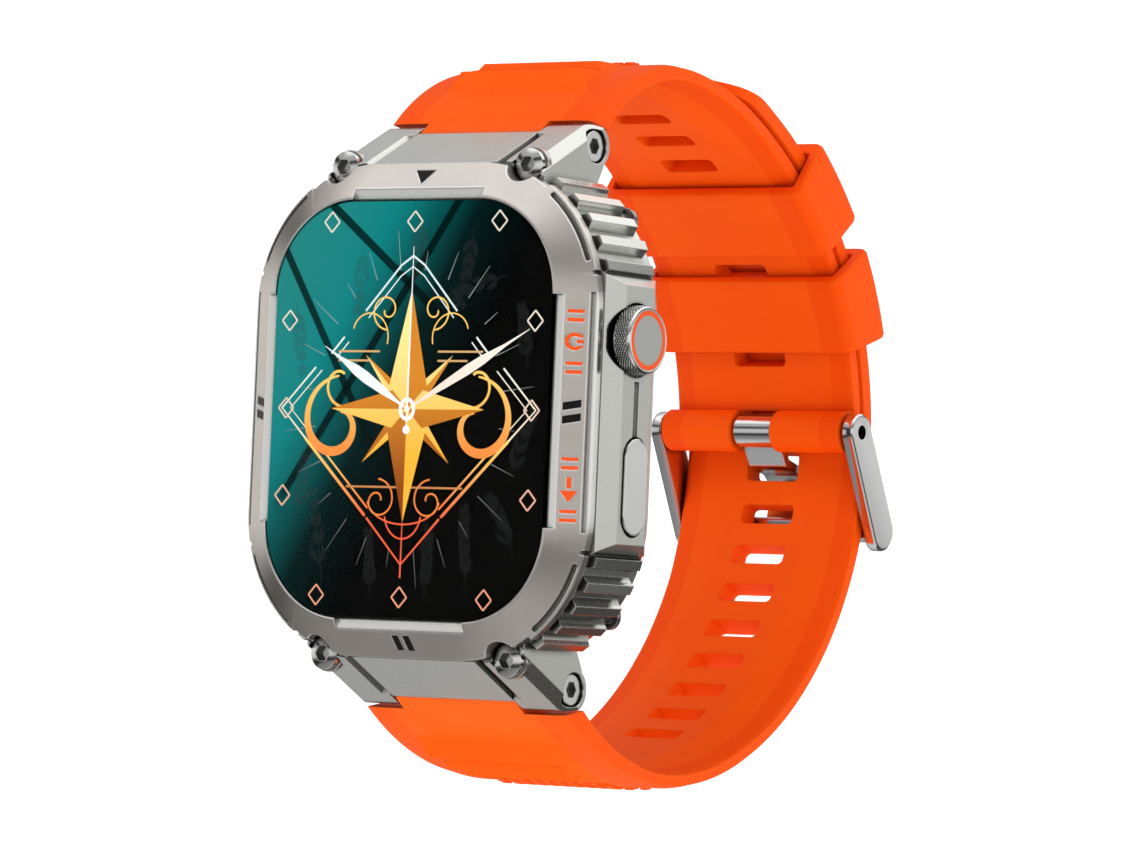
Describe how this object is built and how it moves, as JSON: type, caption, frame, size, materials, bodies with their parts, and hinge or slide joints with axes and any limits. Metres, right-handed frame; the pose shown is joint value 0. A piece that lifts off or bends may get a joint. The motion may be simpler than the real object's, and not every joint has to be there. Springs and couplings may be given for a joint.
{
  "type": "gps running watch",
  "caption": "Wrist-worn sports watch: rounded-square display in a screwed steel bezel, crown and side button, lugs, and a buckled silicone band with keepers.",
  "frame": {"origin": "centre of the sensor window's outer face, where the case back rests on the wrist", "axes": "+X to the crown side, +Y from the dial into the wrist, +Z towards twelve o'clock"},
  "size_m": [0.0454, 0.0696, 0.0723],
  "materials": {
    "bezel_steel": "sand-blasted satin with polished edges",
    "polished_screws": "polished",
    "index_black": "gloss enamel fill",
    "label_orange": "enamel fill",
    "screen_glass": "polished",
    "display": "lit display",
    "seal_rubber": "matt",
    "case_steel": "satin",
    "bar_steel": "turned",
    "crown_steel": "satin with polished rim",
    "back_plastic": "fine matt texture",
    "back_screw_steel": "dark",
    "contact_gold": "gold plated",
    "sensor_glass": "dark tinted",
    "board_green": "solder resist",
    "frame_plastic": "moulded",
    "battery_pouch": "foil pouch",
    "can_steel": "stamped",
    "band_silicone": "soft satin silicone",
    "buckle_steel": "polished"
  },
  "bodies": {
    "case": {"bezel": "bezel_steel", "bezel_screws": "polished_screws", "strap_bar_screws": "polished_screws", "index_inlays": "index_black", "label_inlays": "label_orange", "cover_glass": "screen_glass", "display_panel": "display", "glass_gasket": "seal_rubber", "case_gasket": "seal_rubber", "mid_case": "case_steel", "lug_upper_right": "case_steel", "lug_upper_left": "case_steel", "lug_lower_right": "case_steel", "lug_lower_left": "case_steel", "end_plate_upper": "case_steel", "end_plate_lower": "case_steel", "strap_bar_upper": "bar_steel", "strap_bar_lower": "bar_steel", "crown_tube": "bar_steel", "back_cover": "back_plastic", "back_screws": "back_screw_steel", "charging_contacts": "contact_gold", "sensor_window": "sensor_glass", "main_board": "board_green", "sensor_module": "board_green", "inner_frame": "frame_plastic", "crown_switch": "frame_plastic", "button_switch": "frame_plastic", "speaker": "frame_plastic", "battery": "battery_pouch", "board_shield": "can_steel", "motor_can": "can_steel", "strap_upper": "band_silicone", "strap_lower": "band_silicone"},
    "crown_plunger": {"crown_plunger": "bar_steel"},
    "crown": {"crown_knob": "crown_steel", "crown_ring": "label_orange", "crown_cap": "crown_steel", "crown_stem": "bar_steel", "crown_seal": "seal_rubber"},
    "side_button": {"side_button": "crown_steel", "button_seals": "seal_rubber"},
    "motor_rotor": {"motor_rotor": "can_steel"},
    "keeper_upper": {"keeper_upper": "band_silicone"},
    "keeper_lower": {"keeper_lower": "band_silicone"},
    "buckle_frame": {"buckle_frame": "buckle_steel", "buckle_pin": "buckle_steel"},
    "buckle_tongue": {"buckle_tongue": "buckle_steel"}
  },
  "joints": [
    {"name": "crown_press", "type": "slide", "parent": "case", "child": "crown_plunger", "axis": [-1, 0, 0], "range_m": [0, 0.0003], "stiffness_N_per_m": 2000},
    {"name": "crown_turn", "type": "hinge", "parent": "crown_plunger", "child": "crown", "pos_m": [0.0215, -0.0072, 0.0072], "axis": [1, 0, 0], "continuous": true},
    {"name": "side_button_press", "type": "slide", "parent": "case", "child": "side_button", "axis": [-1, 0, 0], "range_m": [0, 0.0004], "stiffness_N_per_m": 2000},
    {"name": "motor_spin", "type": "hinge", "parent": "case", "child": "motor_rotor", "pos_m": [-0.009, -0.009, -0.0144], "axis": [0, 1, 0], "continuous": true},
    {"name": "keeper_upper_slide", "type": "hinge", "parent": "case", "child": "keeper_upper", "pos_m": [0, 0.01228, -0.004], "axis": [1, 0, 0], "range_deg": [-1.5, 6]},
    {"name": "keeper_lower_slide", "type": "hinge", "parent": "case", "child": "keeper_lower", "pos_m": [0, 0.0174, 0], "axis": [1, 0, 0], "range_deg": [-8.5, 1.5]},
    {"name": "buckle_frame_swing", "type": "hinge", "parent": "case", "child": "buckle_frame", "pos_m": [0, 0.04856, 0.0015], "axis": [1, 0, 0], "range_deg": [0, 5]},
    {"name": "buckle_tongue_swing", "type": "hinge", "parent": "buckle_frame", "child": "buckle_tongue", "pos_m": [0, 0.04856, 0.0015], "axis": [1, 0, 0], "range_deg": [0, 5]}
  ]
}
